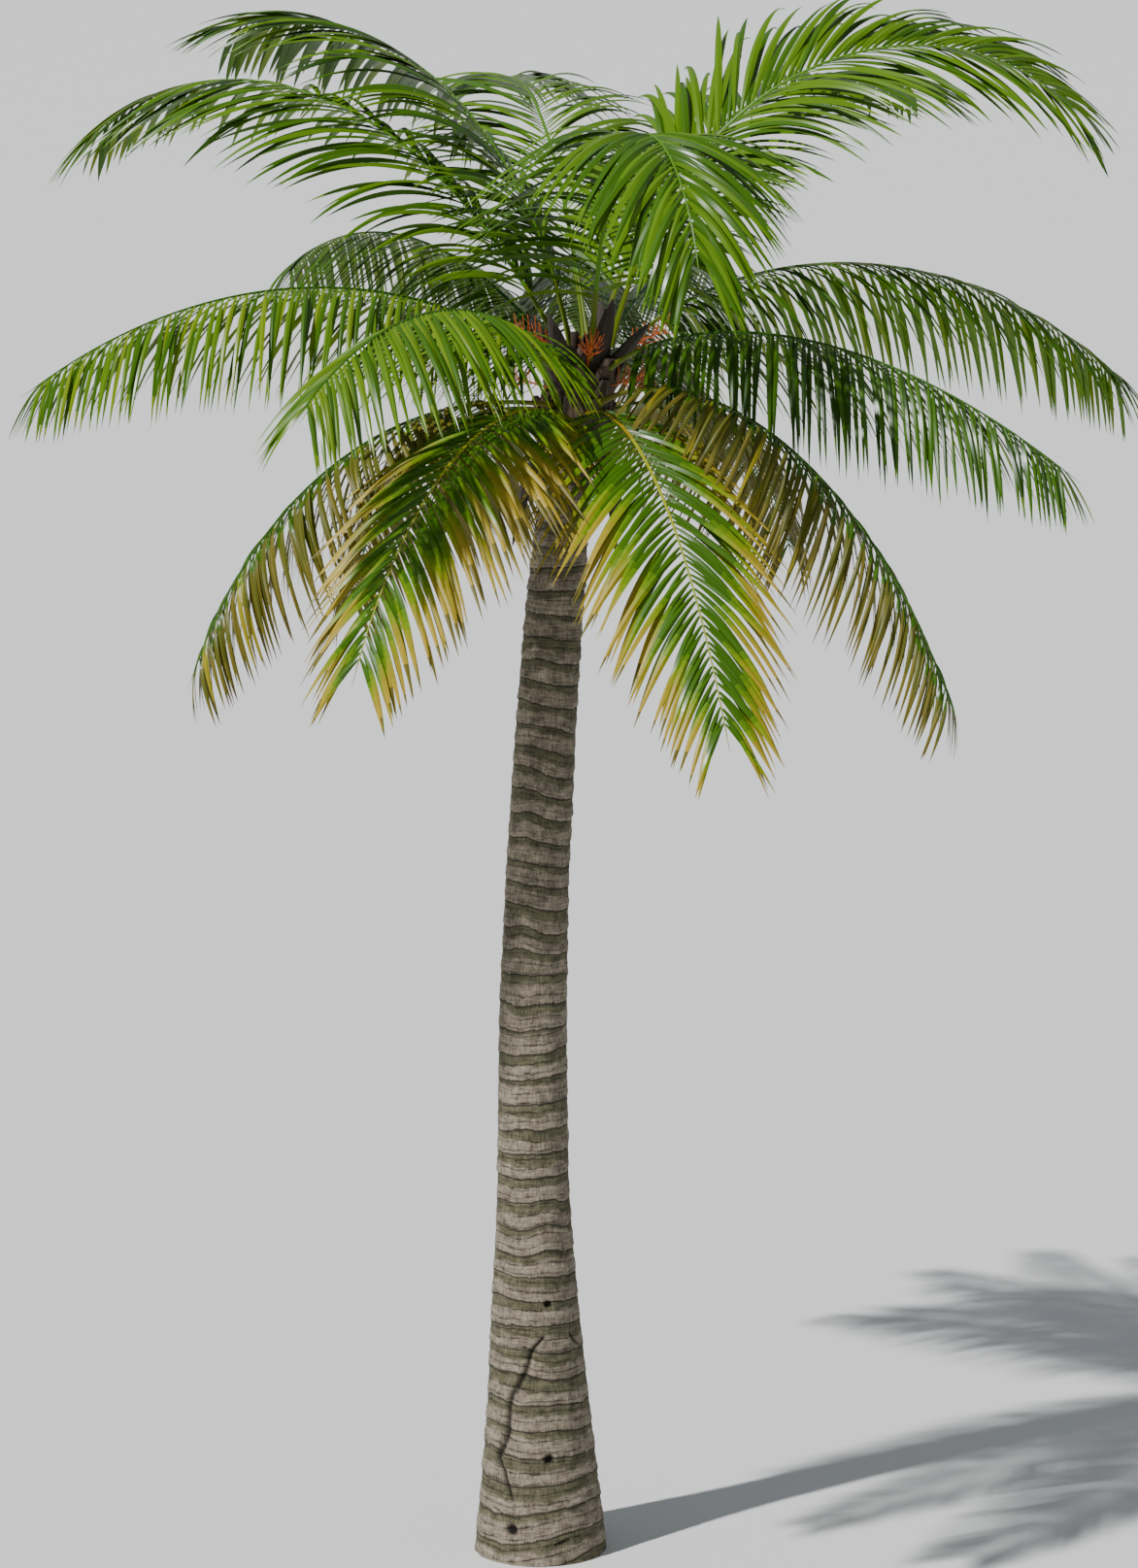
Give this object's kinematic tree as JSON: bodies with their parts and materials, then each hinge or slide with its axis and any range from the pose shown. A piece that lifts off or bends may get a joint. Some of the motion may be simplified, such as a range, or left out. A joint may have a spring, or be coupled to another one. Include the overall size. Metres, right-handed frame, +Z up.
{
  "type": "coconut palm tree",
  "caption": "Tall palm tree with one slender ringed trunk that swells at the foot and a crown of long arching feather fronds, for standing on level ground.",
  "frame": {"origin": "middle of the flat cut under the trunk, at ground level", "axes": "+Z up, the tree's longest extent; the side shown in the picture faces -Y and the trunk leans towards +X"},
  "size_m": [5.4819, 5.9812, 7.7281],
  "materials": {
    "bark": "rough",
    "leaf_base_fibre": "rough",
    "husk": "rough",
    "blossom": "matte",
    "young_leaf": "semi-gloss",
    "full_leaf": "semi-gloss",
    "yellowing_leaf": "satin",
    "old_leaf": "satin"
  },
  "bodies": {
    "root": {"trunk": "bark", "crown_heart": "leaf_base_fibre", "frond_upper_front": "young_leaf", "frond_upper_right": "young_leaf", "frond_upper_left": "young_leaf", "frond_upper_left_back": "young_leaf", "frond_upper_back": "young_leaf", "frond_upper_right_back": "young_leaf", "frond_middle_front_left": "full_leaf", "frond_middle_front_right": "full_leaf", "frond_middle_left": "full_leaf", "frond_middle_right": "full_leaf", "frond_middle_left_back": "full_leaf", "frond_middle_right_back": "full_leaf", "frond_middle_back_left": "full_leaf", "frond_middle_back": "full_leaf", "frond_lower_front_right": "yellowing_leaf", "frond_lower_front_left": "yellowing_leaf", "frond_lower_right": "old_leaf", "frond_lower_left": "old_leaf", "frond_lower_right_back": "old_leaf", "frond_lower_left_back": "old_leaf", "frond_lower_back_left": "old_leaf", "frond_lower_back_right": "old_leaf", "spathe_front_left": "husk", "spathe_front": "husk", "spathe_right": "husk", "spathe_left": "husk", "spathe_back": "husk", "dry_spathe_left": "husk", "dry_spathe_right": "husk", "dry_spathe_front_right": "husk", "flower_spike_left": "blossom", "flower_spike_centre": "blossom", "flower_spike_right": "blossom", "flower_spike_low_right": "blossom", "flower_spike_low_left": "blossom"}
  },
  "joints": []
}
